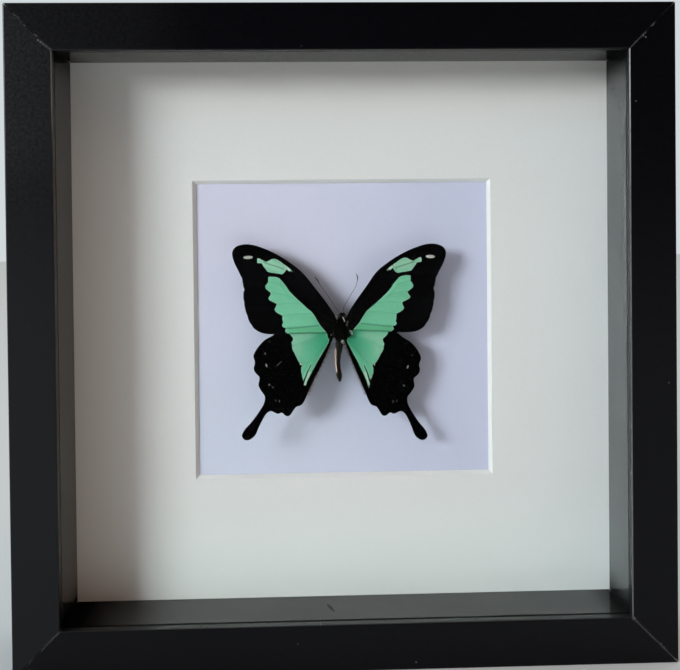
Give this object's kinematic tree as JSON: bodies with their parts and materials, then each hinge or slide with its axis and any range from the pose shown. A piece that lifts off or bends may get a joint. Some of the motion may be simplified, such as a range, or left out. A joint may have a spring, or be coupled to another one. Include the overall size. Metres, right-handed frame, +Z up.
{
  "type": "framed butterfly specimen",
  "caption": "Spread green and black swallowtail butterfly mounted in a deep square black box frame with a window mat, glass, backboard, tabs and hanger.",
  "frame": {"origin": "centre of the frame's bottom face, on the surface it stands on", "axes": "+X right as seen from the front, +Y to the back, +Z up; the front faces -Y"},
  "size_m": [0.25, 0.0479, 0.25],
  "materials": {
    "black_foil": "satin black foil over fibreboard",
    "spacer_foil": "satin black foil over fibreboard",
    "glass": "clear",
    "mat": "matt white mat board",
    "card": "matt linen-faced card, pale lavender",
    "hardboard": "hardboard, smooth side out",
    "tab_steel": "bendable plated steel",
    "hanger_steel": "plated steel",
    "foam": "white foam",
    "wing_scales": "black and apple green wing scales",
    "body_fur": "dark brown hair and chitin, tan sides",
    "antenna": "dark chitin"
  },
  "bodies": {
    "root": {"rail_bottom": "black_foil", "rail_left": "black_foil", "rail_top": "black_foil", "rail_right": "black_foil", "spacer_bottom": "spacer_foil", "spacer_left": "spacer_foil", "spacer_top": "spacer_foil", "spacer_right": "spacer_foil", "glass_pane": "glass", "mat_board": "mat", "backing_card": "card", "backboard": "hardboard", "tab_bottom_1": "tab_steel", "tab_bottom_2": "tab_steel", "tab_left_1": "tab_steel", "tab_left_2": "tab_steel", "tab_top_1": "tab_steel", "tab_top_2": "tab_steel", "tab_right_1": "tab_steel", "tab_right_2": "tab_steel", "sawtooth_hanger": "hanger_steel", "hanger_nail_1": "hanger_steel", "hanger_nail_2": "hanger_steel", "mounting_block": "foam", "forewing_left": "wing_scales", "forewing_right": "wing_scales", "hindwing_left": "wing_scales", "hindwing_right": "wing_scales", "thorax": "body_fur", "head": "body_fur", "abdomen": "body_fur", "antenna_left": "antenna", "antenna_right": "antenna"}
  },
  "joints": []
}
